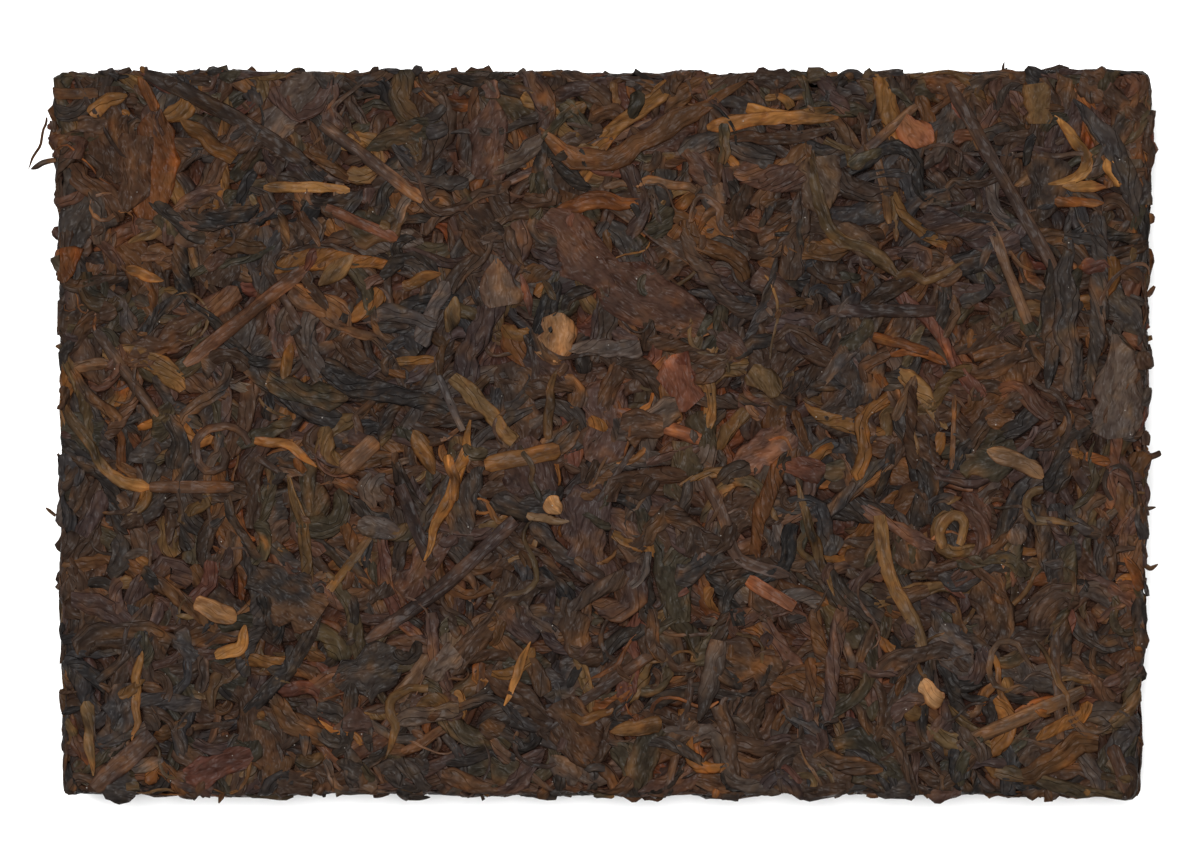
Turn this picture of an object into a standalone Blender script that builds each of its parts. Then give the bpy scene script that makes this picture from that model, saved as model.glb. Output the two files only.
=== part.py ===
"""A brick of pu erh tea: one slab of leaf, steamed and pressed in a rectangular mould.

It lies on one of its two large faces. X runs along its length, Y across it and Z up, and the
origin is on the underside, in the middle of its bounding box. Lengths are in metres.
"""

import bmesh
import bpy
from mathutils import Vector, noise

# The slab.
LENGTH = 0.150
WIDTH = 0.100
THICKNESS = 0.022

# The mould rounds the four upright corners and pinches the rims of the two large faces.
CORNER_RADIUS = 0.0030
RIM_RADIUS = 0.0016
# The walls lean in a little: the slab is wider at the +Y edge than at the -Y edge.
TAPER = 0.0016

# Spacing of the surface points.
CELL = 0.0030

# Relief left by the leaf: long lumps on the pressed face, and a rougher, crumbling wall.
FACE_LUMP = 0.0090
FACE_DEPTH = 0.00055
LEAF_LUMP = 0.0042
LEAF_DEPTH = 0.00035
WALL_LUMP = 0.0075
WALL_DEPTH = 0.00070
CRUMB_LUMP = 0.0035
CRUMB_DEPTH = 0.00045

# Where the noise fields are read, so that the faces and the walls differ.
FACE_FIELD = Vector((3.1, 7.7, 0.4))
LEAF_FIELD = Vector((11.3, 2.9, 5.8))
WALL_FIELD = Vector((6.2, 9.4, 12.6))
CRUMB_FIELD = Vector((15.5, 4.3, 8.1))

LEAF_COLOUR = (0.060, 0.036, 0.024, 1.0)
LEAF_ROUGHNESS = 0.75


def clear_scene():
    for obj in list(bpy.data.objects):
        bpy.data.objects.remove(obj)


def leaf_material():
    material = bpy.data.materials.new("pressed_leaf")
    material.use_nodes = True
    shader = material.node_tree.nodes["Principled BSDF"]
    shader.inputs["Base Color"].default_value = LEAF_COLOUR
    shader.inputs["Roughness"].default_value = LEAF_ROUGHNESS
    shader.inputs["Metallic"].default_value = 0.0
    return material


def cut_along(bm, axis, cell):
    """Cuts every edge that runs along this axis into lengths of about one cell."""
    edges = []
    for edge in bm.edges:
        run = edge.verts[1].co - edge.verts[0].co
        if abs(run[axis]) > 0.99 * run.length:
            edges.append(edge)
    cuts = round(edges[0].calc_length() / cell) - 1
    bmesh.ops.subdivide_edges(bm, edges=edges, cuts=cuts, use_grid_fill=True)


def plain_slab():
    """The box that fills the mould, cut into cells."""
    bm = bmesh.new()
    bmesh.ops.create_cube(bm, size=1.0)
    bmesh.ops.scale(bm, vec=(LENGTH, WIDTH, THICKNESS), verts=bm.verts)
    bmesh.ops.translate(bm, vec=(0, 0, THICKNESS / 2), verts=bm.verts)
    for axis in range(3):
        cut_along(bm, axis, CELL)
    return bm


def round_corners(point):
    """Draws a point on the box in to the rounded corners of the plan and the rounded rims."""
    half = Vector((LENGTH / 2, WIDTH / 2))
    inner = Vector((
        min(max(point.x, CORNER_RADIUS - half.x), half.x - CORNER_RADIUS),
        min(max(point.y, CORNER_RADIUS - half.y), half.y - CORNER_RADIUS),
    ))
    out = point.xy - inner
    if out.length > CORNER_RADIUS:
        out = out.normalized() * CORNER_RADIUS
    level = min(max(point.z, RIM_RADIUS), THICKNESS - RIM_RADIUS)
    rise = point.z - level
    # A point on the rim belongs to the wall and to the face, and moves half-way round.
    on_rim = abs(rise) > 0.99 * RIM_RADIUS and out.length > 0.99 * CORNER_RADIUS
    if on_rim:
        out *= 1 - 0.3 * RIM_RADIUS / CORNER_RADIUS
        rise *= 0.7
    return Vector((inner.x + out.x, inner.y + out.y, level + rise))


def relief(point, is_wall):
    """How far the leaf stands out of the mould's plane, or falls short of it, at this point."""
    if is_wall:
        lump = noise.noise(point / WALL_LUMP + WALL_FIELD) * WALL_DEPTH
        crumb = noise.noise(point / CRUMB_LUMP + CRUMB_FIELD) * CRUMB_DEPTH
        return lump + crumb
    lump = noise.noise(point / FACE_LUMP + FACE_FIELD) * FACE_DEPTH
    leaf = noise.noise(point / LEAF_LUMP + LEAF_FIELD) * LEAF_DEPTH
    return lump + leaf


def press_leaf(bm):
    """Rounds the box, then works the leaf's relief into its walls and its upper face."""
    half = Vector((LENGTH / 2, WIDTH / 2))
    for vert in bm.verts:
        point = vert.co.copy()
        on_wall_x = abs(point.x) > 0.999 * half.x
        on_wall_y = abs(point.y) > 0.999 * half.y
        on_base = point.z < 0.001 * THICKNESS
        on_top = point.z > 0.999 * THICKNESS
        place = round_corners(point)
        if on_wall_x or on_wall_y:
            away = Vector((point.x * on_wall_x, point.y * on_wall_y, 0)).normalized()
            place += away * relief(point, True)
        if on_top:
            place.z += relief(point, False)
        if on_base:
            place.z = 0.0
        place.x *= 1 + TAPER / LENGTH * point.y / half.y
        vert.co = place


def fit_to_size(bm):
    """Brings the slab back to its stated size and centres it over the origin."""
    low = [min(vert.co[axis] for vert in bm.verts) for axis in range(3)]
    high = [max(vert.co[axis] for vert in bm.verts) for axis in range(3)]
    size = (LENGTH, WIDTH, THICKNESS)
    start = (-LENGTH / 2, -WIDTH / 2, 0.0)
    for vert in bm.verts:
        for axis in range(3):
            share = (vert.co[axis] - low[axis]) / (high[axis] - low[axis])
            vert.co[axis] = start[axis] + share * size[axis]


def merge_base(bm):
    """Makes the flat underside one face, because it needs no inner points."""
    base = [face for face in bm.faces if all(vert.co.z < 1e-7 for vert in face.verts)]
    bmesh.ops.dissolve_faces(bm, faces=base, use_verts=False)
    loose = [vert for vert in bm.verts if not vert.link_faces]
    bmesh.ops.delete(bm, geom=loose, context="VERTS")


def tea_brick():
    bm = plain_slab()
    press_leaf(bm)
    fit_to_size(bm)
    merge_base(bm)
    bmesh.ops.recalc_face_normals(bm, faces=bm.faces)
    mesh = bpy.data.meshes.new("tea_brick")
    bm.to_mesh(mesh)
    bm.free()
    mesh.shade_smooth()
    mesh.materials.append(leaf_material())
    return bpy.data.objects.new("tea_brick", mesh)


def main():
    clear_scene()
    collection = bpy.data.collections.new("pu_erh_tea_brick")
    bpy.context.scene.collection.children.link(collection)
    collection.objects.link(tea_brick())


main()
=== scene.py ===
import itertools
import math

import bpy
import numpy as np
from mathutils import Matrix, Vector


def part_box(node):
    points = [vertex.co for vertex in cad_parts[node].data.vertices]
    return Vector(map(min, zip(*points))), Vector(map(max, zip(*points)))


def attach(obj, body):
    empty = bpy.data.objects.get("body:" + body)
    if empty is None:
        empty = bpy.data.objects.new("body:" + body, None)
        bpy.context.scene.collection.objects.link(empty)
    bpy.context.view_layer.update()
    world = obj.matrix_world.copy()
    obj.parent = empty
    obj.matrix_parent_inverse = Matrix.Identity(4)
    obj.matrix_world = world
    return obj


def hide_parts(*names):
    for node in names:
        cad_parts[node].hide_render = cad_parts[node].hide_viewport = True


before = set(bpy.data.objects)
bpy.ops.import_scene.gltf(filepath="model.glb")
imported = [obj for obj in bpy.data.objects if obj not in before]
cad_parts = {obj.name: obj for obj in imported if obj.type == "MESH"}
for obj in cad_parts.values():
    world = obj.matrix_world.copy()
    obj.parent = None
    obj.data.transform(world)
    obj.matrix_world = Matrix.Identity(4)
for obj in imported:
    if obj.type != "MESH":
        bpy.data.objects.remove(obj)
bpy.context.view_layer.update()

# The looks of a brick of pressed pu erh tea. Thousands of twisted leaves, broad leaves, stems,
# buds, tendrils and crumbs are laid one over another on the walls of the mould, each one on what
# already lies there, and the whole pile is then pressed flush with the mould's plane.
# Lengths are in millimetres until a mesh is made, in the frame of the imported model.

LOW, HIGH = (np.array(corner) * 1000 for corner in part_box("tea_brick"))
HALF = (HIGH - LOW) / 2
MIDDLE = (HIGH + LOW) / 2
MM = 0.001

RNG = np.random.default_rng(250)

# ---------------------------------------------------------------- the mould

RIM = 1.5  # how far the mould rounds the brick's rims
TAPER = 0.011  # the +Y edge is this share longer, and the -Y edge this share shorter
WAVER = 0.42  # how far the walls stray in and out


def unit(vectors):
    return vectors / (np.linalg.norm(vectors, axis=-1, keepdims=True) + 1e-9)


def on_mould(points):
    """The mould's points nearest to these, and the directions out of it there."""
    reach = HALF - RIM
    inner = MIDDLE + np.clip(points - MIDDLE, -reach, reach)
    out = unit(points - inner)
    return inner + out * RIM, out


def scatter(cells, seed):
    """A random number from 0 to 1 for each cell of a lattice, the same each time."""
    mixed = cells[..., 0] * 374761393 + cells[..., 1] * 668265263 + cells[..., 2] * 974711
    mixed = mixed + seed * 1442695041
    mixed = (mixed ^ (mixed >> 13)) * 1274126177
    mixed = mixed ^ (mixed >> 16)
    return (mixed & 0xFFFFFF) / 0xFFFFFF


def lumps(points, size, seed):
    """Smooth noise from -1 to 1 through space, with lumps of this size."""
    scaled = points / size + 100.0
    cell = np.floor(scaled).astype(np.int64)
    part = scaled - cell
    part = part * part * (3 - 2 * part)
    total = np.zeros(points.shape[:-1])
    for corner in itertools.product((0, 1), repeat=3):
        weight = np.prod(np.where(corner, part, 1 - part), axis=-1)
        total += weight * scatter(cell + np.array(corner), seed)
    return 2 * total - 1


def stray(points):
    """Turns the true box into the brick's own outline: tapered, with walls that waver."""
    away = (points - MIDDLE) / HALF
    near_wall = np.clip((np.abs(away[..., :2]).max(-1) - 0.8) / 0.2, 0, 1)
    moved = points.copy()
    moved[..., 0] *= 1 + TAPER * away[..., 1]
    for axis in (0, 1):
        broad = lumps(points, 17.0, 31 + axis)
        fine = lumps(points, 6.0, 41 + axis)
        crumbs = lumps(points, 2.6, 61 + axis)
        moved[..., axis] += near_wall * WAVER * (0.8 * broad + 0.45 * fine + 0.25 * crumbs)
    return moved


def starts(wall, count, jitter=0.04):
    """Evenly scattered starting places on one wall of the mould, with its two main directions."""
    turn = np.arange(count)
    spot = np.stack([(0.5 + turn * 0.7548776662) % 1, (0.5 + turn * 0.5698402910) % 1], 1)
    spot = 2 * ((spot + RNG.uniform(0, jitter, spot.shape)) % 1) - 1
    places = np.zeros((count, 3))
    level = np.tile((1.0, 0.0, 0.0), (count, 1))
    if wall in ("face", "base"):
        places[:, :2] = spot * HALF[:2]
        places[:, 2] = HALF[2] if wall == "face" else -HALF[2]
        upright = np.tile((0.0, 1.0, 0.0), (count, 1))
        return places + MIDDLE, level, upright
    # Round the four walls: long, short, long, short.
    run = (spot[:, 0] + 1) * (HALF[0] + HALF[1])
    is_long = run < 2 * HALF[0]
    across = np.where(is_long, run - HALF[0], run - 2 * HALF[0] - HALF[1])
    side = np.where(turn % 2, 1.0, -1.0)
    places[:, 0] = np.where(is_long, across, side * HALF[0])
    places[:, 1] = np.where(is_long, side * HALF[1], across)
    places[:, 2] = spot[:, 1] * HALF[2]
    level = np.where(is_long[:, None], (1.0, 0.0, 0.0), (0.0, 1.0, 0.0))
    upright = np.tile((0.0, 0.0, 1.0), (count, 1))
    return places + MIDDLE, level, upright


def walk(start, way, step, bend):
    """Lines that creep over the mould's wall: each station's place, outward direction and way."""
    place, out = on_mould(start)
    stations = []
    for turn in bend.T:
        way = unit(way - (way * out).sum(-1, keepdims=True) * out)
        stations.append((place, out, way))
        side = np.cross(out, way)
        way = way * np.cos(turn)[:, None] + side * np.sin(turn)[:, None]
        place, out = on_mould(place + way * step[:, None])
    return (np.stack(part, 1) for part in zip(*stations, strict=True))


def spread(line, out, way, reaches, across, on_wall=True):
    """Points across each station, from the piece's right edge to its left, over the mould's wall
    or else straight."""
    half = across // 2
    share = np.sin(np.linspace(0, math.pi / 2, half + 1))
    sides = []
    for sign, reach in zip((-1, 1), reaches, strict=True):
        place, up = line, out
        aside = np.cross(out, way) * sign
        row = []
        for near, far in itertools.pairwise(share):
            place = place + aside * (reach * (far - near))[..., None]
            if on_wall:
                place, up = on_mould(place)
                aside = unit(aside - (aside * up).sum(-1, keepdims=True) * up)
            row.append((place, up))
        sides.append(row)
    columns = sides[0][::-1] + [(line, out)] + sides[1]
    return (np.stack(part, 2) for part in zip(*columns, strict=True))


# ---------------------------------------------------------------- colours of the leaf

HUES = {
    "soot": (0.0073, 0.0056, 0.0048),
    "slate": (0.0114, 0.0090, 0.0081),
    "moss": (0.0128, 0.0097, 0.0057),
    "umber": (0.0140, 0.0079, 0.0051),
    "earth": (0.0173, 0.0086, 0.0047),
    "plum": (0.0173, 0.0097, 0.0078),
    "copper": (0.0249, 0.0108, 0.0039),
    "redwood": (0.0273, 0.0101, 0.0065),
    "brick": (0.0408, 0.0147, 0.0082),
    "bark": (0.0148, 0.0085, 0.0061),
    "ash": (0.0201, 0.0148, 0.0123),
    "hazel": (0.0317, 0.0178, 0.0109),
    "olive": (0.0285, 0.0160, 0.0062),
    "ochre": (0.0466, 0.0198, 0.0052),
    "rust": (0.0385, 0.0133, 0.0036),
    "gold": (0.0634, 0.0277, 0.0075),
    "cinnamon": (0.0382, 0.0171, 0.0090),
    "straw": (0.0955, 0.0461, 0.0173),
    "tan": (0.0777, 0.0394, 0.0172),
    "buff": (0.1104, 0.0609, 0.0279),
    "peat": (0.0103, 0.0058, 0.0037),
    "husk": (0.0220, 0.0127, 0.0073),
    "cocoa": (0.0211, 0.0102, 0.0068),
    "russet": (0.0248, 0.0091, 0.0029),
    "khaki": (0.0403, 0.0220, 0.0084),
    "coral": (0.0562, 0.0203, 0.0092),
    "amber": (0.0842, 0.0370, 0.0094),
    "stone": (0.0258, 0.0191, 0.0160),
}

# How often each colour turns up in each form of leaf.
LEAF_MIX = {
    "soot": 15, "slate": 18, "moss": 12, "umber": 21, "earth": 15, "plum": 10, "copper": 5,
    "redwood": 1.5, "olive": 4, "ochre": 3, "rust": 1, "ash": 4, "cocoa": 4, "khaki": 1,
}
BROAD_MIX = {
    "umber": 24, "earth": 18, "moss": 12, "plum": 12, "slate": 20, "copper": 5, "ash": 4,
    "cocoa": 6,
}
STEM_MIX = {"bark": 34, "olive": 8, "copper": 10, "umber": 26, "cinnamon": 4, "plum": 18}
BUD_MIX = {"ochre": 34, "gold": 3, "rust": 26, "olive": 34}
TENDRIL_MIX = {"bark": 26, "olive": 20, "ochre": 8, "umber": 30, "rust": 4, "soot": 12}
BIT_MIX = {
    "umber": 26, "earth": 18, "copper": 10, "redwood": 3, "ochre": 6, "rust": 4, "soot": 8,
    "slate": 14, "olive": 5, "ash": 4, "khaki": 3,
}


def pick_hues(mix, count):
    names = list(mix)
    weights = np.array([mix[name] for name in names], float)
    chosen = RNG.choice(len(names), count, p=weights / weights.sum())
    return np.array([HUES[name] for name in names])[chosen]


# ---------------------------------------------------------------- forms of leaf


class Form:
    """What pieces of one form have in common. Pairs are the smallest and the largest value."""

    def __init__(self, name, stations, across, mix, **sizes):
        self.name = name
        self.stations = stations
        self.across = across
        self.mix = mix
        self.length = sizes["length"]
        self.width = sizes["width"]
        self.thick = sizes["thick"]  # of the piece's crown, as a share of its width
        self.curl = sizes["curl"]  # how far it turns over its length, in radians
        self.wriggle = sizes.get("wriggle", 0.0)
        self.kink = sizes.get("kink", 0.0)  # how sharply it may bend at one place
        self.fold_width = sizes.get("fold_width", (9, 9))
        self.fold_depth = sizes.get("fold_depth", 0.0)
        self.twist = sizes.get("twist", 0.0)  # how far its fibres run aslant
        self.torn = sizes.get("torn", 0.5)  # how many of its ends are torn off, not pointed
        self.ragged = sizes.get("ragged", 0.2)  # how far its edges stray
        self.stiff = sizes.get("stiff", 3)  # stations over which it evens out what it lies on
        self.crumple = sizes.get("crumple", 0.0)
        self.patchy = sizes.get("patchy", 0.20)  # how far its shade strays
        self.dive = sizes.get("dive", 1.1)  # how far its ends are pushed down among the others
        self.stained = sizes.get("stained", 0.0)  # how much of it is stained dark
        self.sway = sizes.get("sway", 0.30)  # how far its middle goes up and down among them


TWISTED = dict(
    thick=(0.24, 0.42), curl=0.85, wriggle=0.13, kink=0.50, fold_width=(0.7, 1.4),
    fold_depth=0.55, twist=0.22, torn=0.75, ragged=0.38, crumple=0.26,
)
FORMS = {
    "long_leaf": Form("long_leaf", 19, 9, LEAF_MIX, length=(12, 28), width=(1.2, 3.6), **TWISTED),
    "leaf": Form("leaf", 10, 9, LEAF_MIX, length=(5, 15), width=(1.2, 3.8), **TWISTED),
    "short_leaf": Form("short_leaf", 8, 7, LEAF_MIX, length=(2.5, 8), width=(0.8, 2.7), **TWISTED),
    "broad_leaf": Form(
        "broad_leaf", 12, 11, BROAD_MIX, length=(6, 15), width=(3.2, 7.6), thick=(0.06, 0.10),
        curl=0.35, wriggle=0.05, kink=0.2, fold_width=(1.8, 4.5), fold_depth=0.6, twist=0.15,
        torn=0.6, ragged=0.50, crumple=0.75, dive=0.9, sway=0.35,
    ),
    "flake": Form(
        "flake", 8, 9, BROAD_MIX, length=(2.2, 6.5), width=(1.6, 4.4), thick=(0.08, 0.15),
        curl=0.3, wriggle=0.05, fold_width=(1.5, 3.5), fold_depth=0.5, twist=0.3, torn=0.8,
        ragged=0.55, crumple=0.75, stiff=2, dive=0.5, sway=0.30,
    ),
    "stem": Form(
        "stem", 14, 7, STEM_MIX, length=(6, 24), width=(0.9, 1.9), thick=(0.38, 0.50), curl=0.18,
        wriggle=0.02, kink=0.1, fold_width=(0.8, 1.6), fold_depth=0.14, twist=0.03, torn=1.0,
        ragged=0.08, stiff=8, crumple=0.12, patchy=0.35, dive=0.5, sway=0.08, stained=0.35,
    ),
    "bud": Form(
        "bud", 16, 9, BUD_MIX, length=(4, 11), width=(0.8, 2.0), thick=(0.26, 0.38), curl=0.9,
        wriggle=0.13, kink=0.4, fold_width=(0.6, 1.1), fold_depth=0.40, twist=0.15, torn=0.35,
        ragged=0.32, crumple=0.30, patchy=0.50, dive=0.6, sway=0.15, stained=0.32,
    ),
    "tendril": Form(
        "tendril", 15, 5, TENDRIL_MIX, length=(5, 18), width=(0.3, 0.9), thick=(0.46, 0.60),
        curl=1.4, wriggle=0.34, kink=0.4, torn=0.5, ragged=0.18, stiff=4, crumple=0.14,
        patchy=0.40, dive=0.6, sway=0.15, stained=0.35,
    ),
    "bit": Form(
        "bit", 4, 5, BIT_MIX, length=(0.9, 3.0), width=(0.5, 1.7), thick=(0.20, 0.40), curl=0.5,
        wriggle=0.1, fold_width=(1.0, 2.0), fold_depth=0.3, twist=0.3, torn=0.7, ragged=0.45,
        stiff=1, crumple=0.5, dive=0.2, sway=0.05,
    ),
}


# Broken leaf that fills the gaps between the other pieces.
FILLER = Form(
    "bit", 4, 5, BIT_MIX, length=(1.8, 3.4), width=(1.3, 2.1), thick=(0.15, 0.30), curl=0.5,
    wriggle=0.1, fold_width=(0.8, 1.6), fold_depth=0.5, twist=0.3, torn=0.7, ragged=0.45,
    stiff=1, crumple=0.5, dive=0.2, sway=0.05,
)


def between(pair, count):
    return RNG.uniform(pair[0], pair[1], count)


class Batch:
    """Many pieces of one form, laid along lines over the mould."""

    def __init__(self, form, line, out, way, width, hues, on_wall=True):
        count, stations = line.shape[:2]
        self.form = form
        self.hues = hues
        self.width = width
        gaps = np.linalg.norm(np.diff(line, axis=1), axis=-1)
        self.along = np.concatenate([np.zeros((count, 1)), gaps.cumsum(1)], 1)
        self.length = self.along[:, -1]
        self.share = self.along / self.length[:, None]
        self.seed = RNG.uniform(0, 1000, count)
        self.slant = RNG.normal(0, form.twist, count)
        self.angle = np.linspace(-math.pi / 2, math.pi / 2, form.across)
        self.across = np.sin(self.angle)
        reaches = self.reaches()
        self.tapered = reaches[0] + reaches[1]
        self.place, self.out = spread(line, out, way, reaches, form.across, on_wall)
        self.crown = self.crowns()
        self.sunk = self.sunk_by()
        self.raw = np.zeros(self.crown.shape)
        self.kept = []
        # Finer steps along and across, to fill every cell under the piece.
        self.finer_along = steps_between(stations, 3)
        self.finer_across = steps_between(form.across, 2)

    def reaches(self):
        """How far the piece reaches to the right and to the left of its line at each station."""
        form, count = self.form, len(self.length)
        narrow = np.ones(self.share.shape)
        for from_end in (self.share, 1 - self.share):
            torn = RNG.random((count, 1)) < form.torn
            blunt, pointed = RNG.uniform((0.02, 0.25), (0.14, 0.6), (count, 2)).T[..., None]
            reach = np.where(torn, blunt, pointed)
            tip = np.where(torn, RNG.uniform(0.40, 0.90, (count, 1)), 0.16)
            rise = np.clip(from_end / reach, 0, 1)
            narrow *= tip + (1 - tip) * np.sin(rise * math.pi / 2) ** 0.8
        both = []
        for side in (0, 1):
            stray_by = self.noise_along(3.2, 5 + side) * 0.9 + self.noise_along(1.3, 7 + side) * 0.7
            both.append(self.width[:, None] / 2 * narrow * (1 + form.ragged * stray_by))
        return both

    def noise_along(self, size, seed):
        """Noise that changes along each piece only."""
        spots = np.stack(
            [self.along, self.along * 0 + self.seed[:, None] * 7.0, self.along * 0], -1
        )
        return lumps(spots, size, seed)

    def noise_over(self, along_size, across_size, seed):
        """Noise over each piece's surface, stretched along its fibres."""
        shape = self.along.shape + (len(self.across),)
        run = self.along[..., None] - (self.length / 2)[:, None, None]
        aside = self.tapered[..., None] / 2 * self.across + run * self.slant[:, None, None]
        spots = np.stack(
            [
                np.broadcast_to(run, shape) / along_size,
                aside / across_size,
                np.broadcast_to(self.seed[:, None, None], shape) * 7.0,
            ],
            -1,
        )
        return lumps(spots, 1.0, seed)

    def crowns(self):
        """How high the piece's upper side stands over its bed."""
        form, count = self.form, len(self.length)
        height = between(form.thick, count)[:, None, None] * self.tapered[..., None]
        crown = height * np.cos(self.angle) ** 0.5
        # One edge lies higher than the other.
        crown += height * 0.45 * RNG.normal(0, 0.6, (count, 1, 1)) * self.across
        depth = between((0.6, 1.0), count)[:, None, None] * form.fold_depth
        number = self.width / between(form.fold_width, count)
        at = (
            (self.across + 1) / 2 * number[:, None, None]
            + (self.along * (self.slant / self.width)[:, None])[..., None]
            + RNG.uniform(0, 1, (count, 1, 1))
            + 0.35 * self.noise_over(5.0, 3.0, 11)
        )
        # The folds are round, with narrow creases between them.
        self.ridge = np.abs(np.sin(math.pi * at)) ** 0.7 - 0.6
        crown += height * self.ridge * depth * 2 * np.cos(self.angle) ** 0.4
        crown += height * form.crumple * 1.8 * self.noise_over(1.8, 1.2, 12)
        return np.maximum(crown, 0.05)

    def sunk_by(self):
        """How far each part of the piece is pushed down, so that its neighbours close over it."""
        sunk = np.zeros(self.share.shape)
        for from_end in (self.share, 1 - self.share):
            depth, run = RNG.uniform((0, 0.15), (self.form.dive, 0.45), (len(sunk), 2)).T[..., None]
            sunk += depth * np.clip(1 - from_end / run, 0, 1) ** 1.5
        return sunk[..., None] + self.form.sway * self.noise_over(5.0, 3.0, 13)

    def cells(self, pile):
        place = np.einsum("am,nmkc->nakc", self.finer_along, self.place)
        place = np.einsum("bk,nakc->nabc", self.finer_across, place)
        self.fine_cells = pile.cells(place)
        self.own_cells = pile.cells(self.place)

    def finer(self, heights):
        return self.finer_along @ heights @ self.finer_across.T


def steps_between(count, finer):
    """A matrix that reads count values at finer steps."""
    at = np.linspace(0, count - 1, (count - 1) * finer + 1)
    low = np.minimum(at.astype(int), count - 2)
    matrix = np.zeros((len(at), count))
    rows = np.arange(len(at))
    matrix[rows, low] = 1 - (at - low)
    matrix[rows, low + 1] = at - low
    return matrix


def bends(form, count):
    """How far each piece turns at each station."""
    stations = form.stations
    steady = RNG.laplace(0, form.curl, count)[:, None] / stations
    slow = RNG.uniform(0, 2 * math.pi, (count, 1)) + np.arange(stations) * 0.45
    bend = steady + np.sin(slow) * form.wriggle * RNG.normal(0, 1, (count, 1))
    bend = bend + RNG.normal(0, form.wriggle * 0.4, (count, stations))
    kinked = RNG.integers(1, stations - 1, count)
    bend[np.arange(count), kinked] += RNG.normal(0, form.kink, count)
    return bend


def grow(form_name, wall, count, level=0.0, mix=None):
    """Scatters pieces of one form over a wall. level from 0 to 1 draws them towards level lines."""
    form = FORMS[form_name]
    start, across, upright = starts(wall, count)
    # Neighbours lie roughly the same way, in drifts.
    drift = math.pi * 1.4 * lumps(start, 26.0, 3)
    angle = drift + RNG.normal(0, 0.5, count)
    loose = RNG.random(count) < 0.3
    angle = np.where(loose, RNG.uniform(-math.pi, math.pi, count), angle)
    angle = np.arctan2(np.sin(angle) * (1 - level), np.cos(angle))
    way = np.cos(angle)[:, None] * across + np.sin(angle)[:, None] * upright
    length = form.length[0] + (form.length[1] - form.length[0]) * RNG.beta(1.3, 2.0, count)
    # Each piece starts half its length back, so that it is centred on its place.
    start = start - way * length[:, None] / 2
    step = length / (form.stations - 1)
    line, out, way = walk(start, way, step, bends(form, count))
    width = form.width[0] + (form.width[1] - form.width[0]) * RNG.beta(1.5, 2.2, count)
    width *= np.clip(length / np.mean(form.length), 0.8, 1.1)
    # Neighbours are alike: some drifts are warm brown, others black.
    warm = 0.6 * lumps(start, 9.0, 91) + 0.6 * lumps(start, 24.0, 92)
    hues = pick_hues(mix or form.mix, count) * (1 + warm[:, None] * (0.42, 0.25, 0.08))
    return Batch(form, line, out, way, width, hues)


def eaves(form_name, count, aslant, most):
    """Pieces that lie level in the brick and stick out of its walls. aslant is how far they turn
    away from the wall, in radians, and most is how far they may stick out."""
    form = FORMS[form_name]
    start, along_wall, _ = starts("sides", count, jitter=2.0)
    near_top = RNG.random(count) < 0.4
    start[:, 2] = np.where(near_top, HIGH[2] - RNG.uniform(0.5, 1.6, count), start[:, 2])
    start[:, 2] = np.clip(start[:, 2], LOW[2] + 0.7, HIGH[2] - 0.5)
    inner = np.clip(start, LOW + 8, HIGH - 8)
    start = np.where(np.abs(along_wall) > 0.5, inner, start)
    _, out = on_mould(start)
    out = unit(out * (1, 1, 0))
    turned = RNG.normal(0, aslant, count)[:, None]
    way = along_wall * np.cos(turned) + out * np.sin(turned)
    length = between(form.length, count)
    width = between(form.width, count)
    # The piece is sunk in the wall until only this much of it shows.
    shown = np.minimum(RNG.gamma(1.2, 0.20, count) - 0.15, most)
    reach = length / 2 * np.abs(np.sin(turned[:, 0])) + width / 2 * np.cos(turned[:, 0])
    start = start - out * (reach - shown)[:, None] - way * length[:, None] / 2
    up = np.array((0.0, 0.0, 1.0)) + 0.18 * RNG.normal(0, 1, (count, 3))
    up = unit(up - (up * way).sum(-1, keepdims=True) * way)
    step = length / (form.stations - 1)
    line, ways = [], []
    for turn in 0.12 * bends(form, count).T:
        line.append(start)
        ways.append(way)
        side = np.cross(up, way)
        way = unit(way * np.cos(turn)[:, None] + side * np.sin(turn)[:, None])
        start = start + way * step[:, None]
    line, ways = np.stack(line, 1), np.stack(ways, 1)
    ups = np.broadcast_to(up[:, None], line.shape)
    return loose(Batch(form, line, ups, ways, width, pick_hues(form.mix, count), on_wall=False))


def loose(batch):
    """A batch that isn't laid on the pile: every piece keeps its own shape."""
    batch.depth = batch.crown * 0.8
    batch.kept = list(range(len(batch.length)))
    return batch


def smooth_line(spots, stations):
    """Evenly spaced points on a smooth line through these spots."""
    spots = np.array(spots, float)
    fine = 60
    for count, passes in ((fine, 3), (stations, 0)):
        run = np.linalg.norm(np.diff(spots, axis=0), axis=1)
        run = np.concatenate([[0], run.cumsum()])
        even = np.linspace(0, run[-1], count)
        spots = np.stack([np.interp(even, run, spots[:, axis]) for axis in (0, 1)], 1)
        for _ in range(passes):
            padded = np.pad(spots, ((4, 4), (0, 0)), mode="reflect", reflect_type="odd")
            spots = np.stack([np.convolve(padded[:, axis], np.ones(9) / 9, "valid")
                              for axis in (0, 1)], 1)
    return spots


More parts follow.
